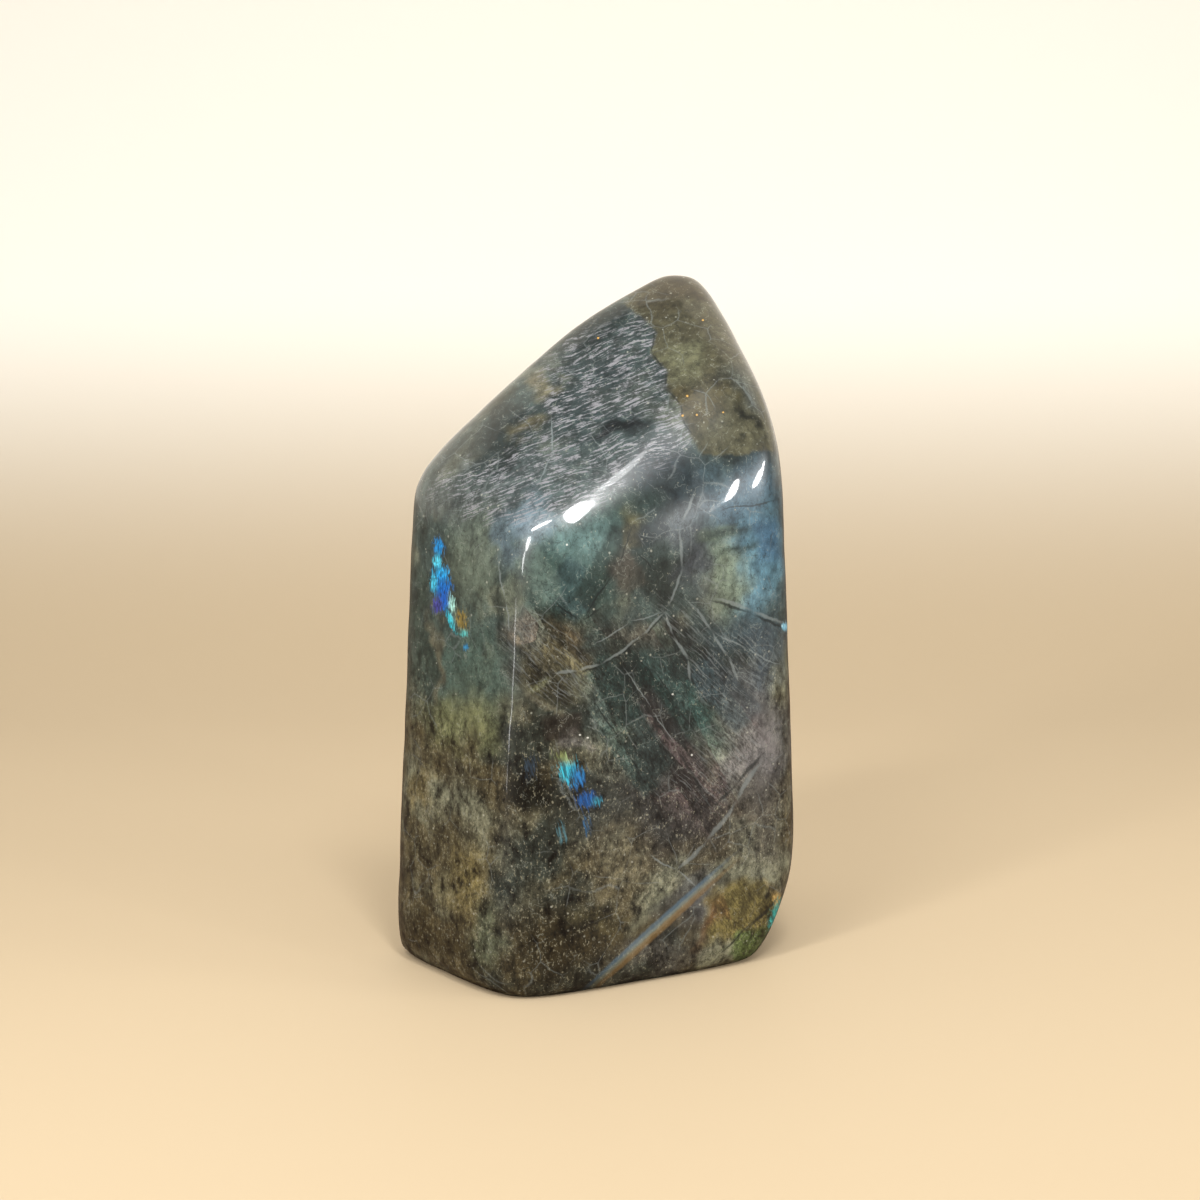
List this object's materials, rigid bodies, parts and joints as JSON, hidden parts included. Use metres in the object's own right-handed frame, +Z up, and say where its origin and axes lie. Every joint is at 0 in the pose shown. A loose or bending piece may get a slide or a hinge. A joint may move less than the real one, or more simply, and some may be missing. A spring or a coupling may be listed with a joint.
{
  "type": "polished labradorite freeform",
  "caption": "Free-standing polished labradorite freeform: a tall slab with soft edges, a slanted top rising to one rounded peak, and a flat sawn base",
  "frame": {"origin": "middle of the flat base, on the surface that the stone stands on", "axes": "+Z up along the stone's height, broad front facing -Y, the side below the peak towards +X"},
  "size_m": [0.0805, 0.0483, 0.14],
  "materials": {
    "labradorite": "polished, dark grey-green with blue, teal and gold flashes"
  },
  "bodies": {
    "root": {"labradorite_stone": "labradorite"}
  },
  "joints": []
}
